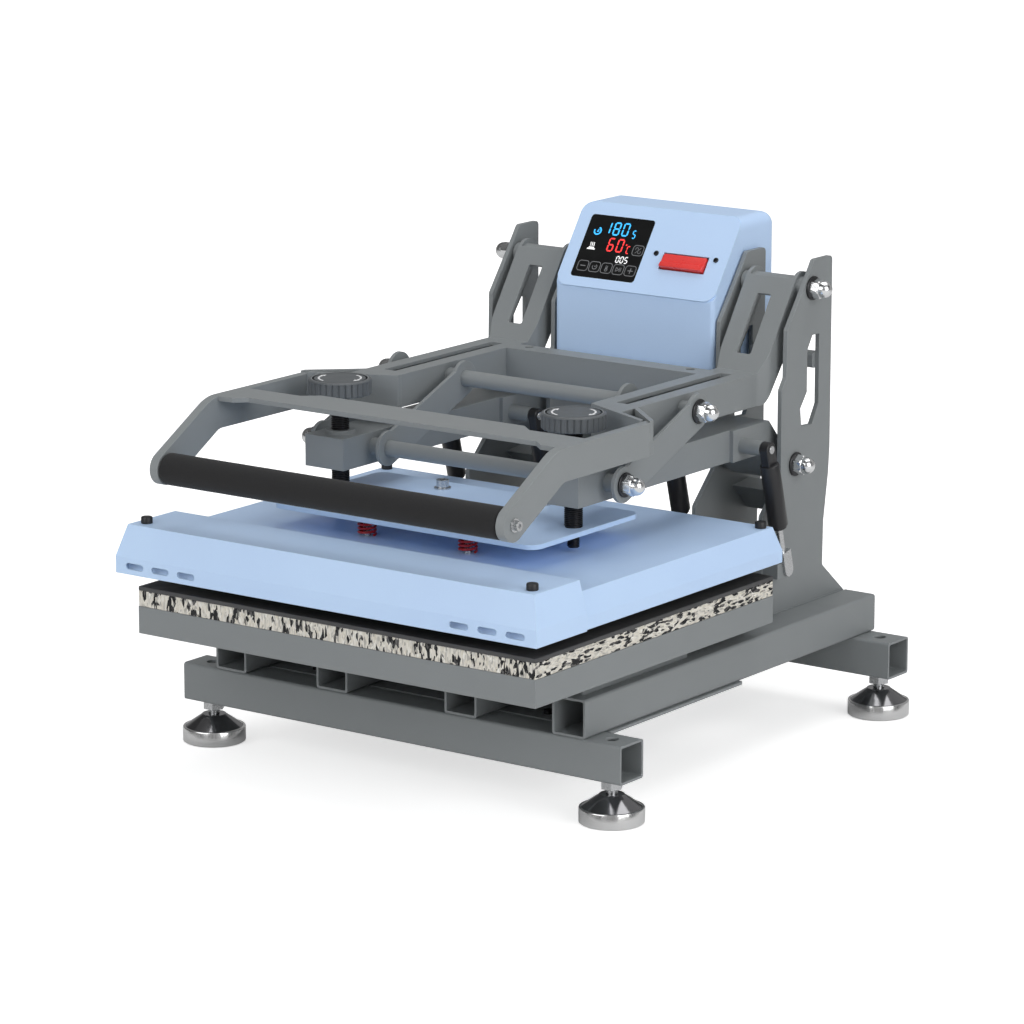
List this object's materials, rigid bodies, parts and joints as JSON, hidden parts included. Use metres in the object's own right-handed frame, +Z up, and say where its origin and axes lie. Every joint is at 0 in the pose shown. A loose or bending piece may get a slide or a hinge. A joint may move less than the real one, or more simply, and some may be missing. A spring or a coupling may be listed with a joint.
{
  "type": "large format heat press",
  "caption": "Closed clamshell heat press: a square tube base on levelling feet, a padded lower platen, a linked lever handle, a hinged heating platen and a slanted control box.",
  "frame": {"origin": "centre of the footprint on the floor, under the middle of the bounding box, press closed", "axes": "+Z up, +Y to the back of the press, +X to the operator's right"},
  "size_m": [0.575, 0.674, 0.529],
  "materials": {
    "grey_coat": "satin powder coat",
    "light_grey_coat": "satin powder coat",
    "blue_coat": "satin powder coat",
    "chrome": "polished",
    "bright_steel": "machined",
    "dark_steel": "black oxide",
    "red_spring": "gloss enamel",
    "aluminium": "cast, dark coated face",
    "black_plastic": "fine texture",
    "knob_plastic": "fine texture",
    "red_plastic": "gloss",
    "screen_glass": "gloss",
    "foam": "closed cell foam",
    "sponge": "speckled silicone sponge",
    "silicone": "smooth silicone",
    "wool": "ceramic fibre blanket",
    "circuit": "circuit laminate"
  },
  "bodies": {
    "frame": {"cross_tubes": "grey_coat", "base_rails": "grey_coat", "deck_plate": "grey_coat", "base_pan": "grey_coat", "frame_bolts": "dark_steel", "platen_standoffs": "grey_coat", "platen_board": "grey_coat", "sponge_layer": "sponge", "silicone_pad": "silicone", "outer_uprights": "grey_coat", "inner_uprights": "grey_coat", "upright_base_plates": "grey_coat", "upright_spacers": "grey_coat", "pivot_pins": "bright_steel", "upright_nuts": "chrome", "upright_washers": "dark_steel", "control_box": "blue_coat", "control_panel": "blue_coat", "display_screen": "screen_glass", "panel_screws": "dark_steel", "box_rear_cover": "blue_coat", "power_inlet": "black_plastic", "circuit_board": "circuit", "gas_brackets": "grey_coat", "foot_lock_nuts": "bright_steel"},
    "foot_front_left": {"foot_front_left": "chrome"},
    "foot_front_right": {"foot_front_right": "chrome"},
    "foot_rear_left": {"foot_rear_left": "chrome"},
    "foot_rear_right": {"foot_rear_right": "chrome"},
    "carrier": {"carrier_arm_left": "grey_coat", "carrier_arm_right": "grey_coat", "torsion_tube": "grey_coat"},
    "links": {"link_plates": "grey_coat", "link_shafts": "grey_coat", "link_nuts": "chrome", "link_washers": "dark_steel"},
    "lever": {"lever_arm_left": "grey_coat", "lever_arm_right": "grey_coat", "lever_beam": "grey_coat", "corner_plates": "grey_coat", "handle_plates": "light_grey_coat", "cross_plate": "light_grey_coat", "grip_tube": "bright_steel", "foam_grip": "foam", "handle_screws": "bright_steel"},
    "gas_rods": {"gas_rods": "bright_steel"},
    "gas_cylinders": {"gas_cylinders": "black_plastic"},
    "pressure_plate": {"pressure_plate": "blue_coat", "platen_springs": "red_spring"},
    "knob_left": {"pressure_knob_left": "knob_plastic", "pressure_screw_left": "dark_steel"},
    "knob_right": {"pressure_knob_right": "knob_plastic", "pressure_screw_right": "dark_steel"},
    "platen": {"heat_plate": "aluminium", "insulation": "wool", "platen_cover": "blue_coat", "platen_guard": "blue_coat", "platen_caps": "black_plastic", "guide_bolts": "bright_steel"},
    "rocker": {"power_rocker": "red_plastic"}
  },
  "joints": [
    {"name": "press_open", "type": "hinge", "parent": "frame", "child": "carrier", "pos_m": [0, 0.227, 0.28], "axis": [-1, 0, 0], "range_deg": [0, 34]},
    {"name": "link_swing", "type": "hinge", "parent": "carrier", "child": "links", "pos_m": [0, -0.0885, 0.314], "axis": [-1, 0, 0], "range_deg": [-67, 0]},
    {"name": "lever_swing", "type": "hinge", "parent": "links", "child": "lever", "pos_m": [0, 0.0435, 0.367], "axis": [-1, 0, 0], "range_deg": [0, 93.4]},
    {"name": "gas_rod_swing", "type": "hinge", "parent": "frame", "child": "gas_rods", "pos_m": [0, 0.184, 0.177], "axis": [-1, 0, 0], "range_deg": [0, 13.4]},
    {"name": "gas_spring_stroke", "type": "slide", "parent": "gas_rods", "child": "gas_cylinders", "axis": [0, -0.2589, 0.9659], "range_m": [0, 0.0343]},
    {"name": "pressure_travel", "type": "slide", "parent": "carrier", "child": "pressure_plate", "axis": [0, 0, 1], "range_m": [-0.0081, 0.0101]},
    {"name": "pressure_knob_right_turn", "type": "hinge", "parent": "pressure_plate", "child": "knob_right", "pos_m": [0.14825, -0.113, 0.379], "axis": [0, 0, 1], "range_deg": [-1168, 1456]},
    {"name": "pressure_knob_left_turn", "type": "hinge", "parent": "pressure_plate", "child": "knob_left", "pos_m": [-0.14825, -0.113, 0.379], "axis": [0, 0, 1], "range_deg": [-1168, 1456]},
    {"name": "platen_float", "type": "slide", "parent": "pressure_plate", "child": "platen", "axis": [0, 0, 1], "range_m": [0, 0.0045], "stiffness_N_per_m": 40000, "springref_m": -0.003, "deforming": ["platen_springs"]},
    {"name": "power_switch", "type": "hinge", "parent": "frame", "child": "rocker", "pos_m": [0.0498, 0.22807, 0.47904], "axis": [1, 0, 0], "range_deg": [-8, 8]},
    {"name": "foot_front_left_turn", "type": "hinge", "parent": "frame", "child": "foot_front_left", "pos_m": [-0.2545, -0.196, 0], "axis": [0, 0, 1], "continuous": true},
    {"name": "foot_front_right_turn", "type": "hinge", "parent": "frame", "child": "foot_front_right", "pos_m": [0.2545, -0.196, 0], "axis": [0, 0, 1], "continuous": true},
    {"name": "foot_rear_left_turn", "type": "hinge", "parent": "frame", "child": "foot_rear_left", "pos_m": [-0.2545, 0.304, 0], "axis": [0, 0, 1], "continuous": true},
    {"name": "foot_rear_right_turn", "type": "hinge", "parent": "frame", "child": "foot_rear_right", "pos_m": [0.2545, 0.304, 0], "axis": [0, 0, 1], "continuous": true}
  ],
  "couplings": [
    {"joint": "link_swing", "follows": "press_open", "ratio": -1.966},
    {"joint": "lever_swing", "follows": "press_open", "ratio": 2.7414},
    {"joint": "gas_rod_swing", "follows": "press_open", "ratio": 0.39277},
    {"joint": "gas_spring_stroke", "follows": "press_open", "m_per_rad": 0.057558},
    {"joint": "pressure_knob_right_turn", "follows": "pressure_travel", "rad_per_m": 2513.3},
    {"joint": "pressure_knob_left_turn", "follows": "pressure_travel", "rad_per_m": 2513.3}
  ]
}
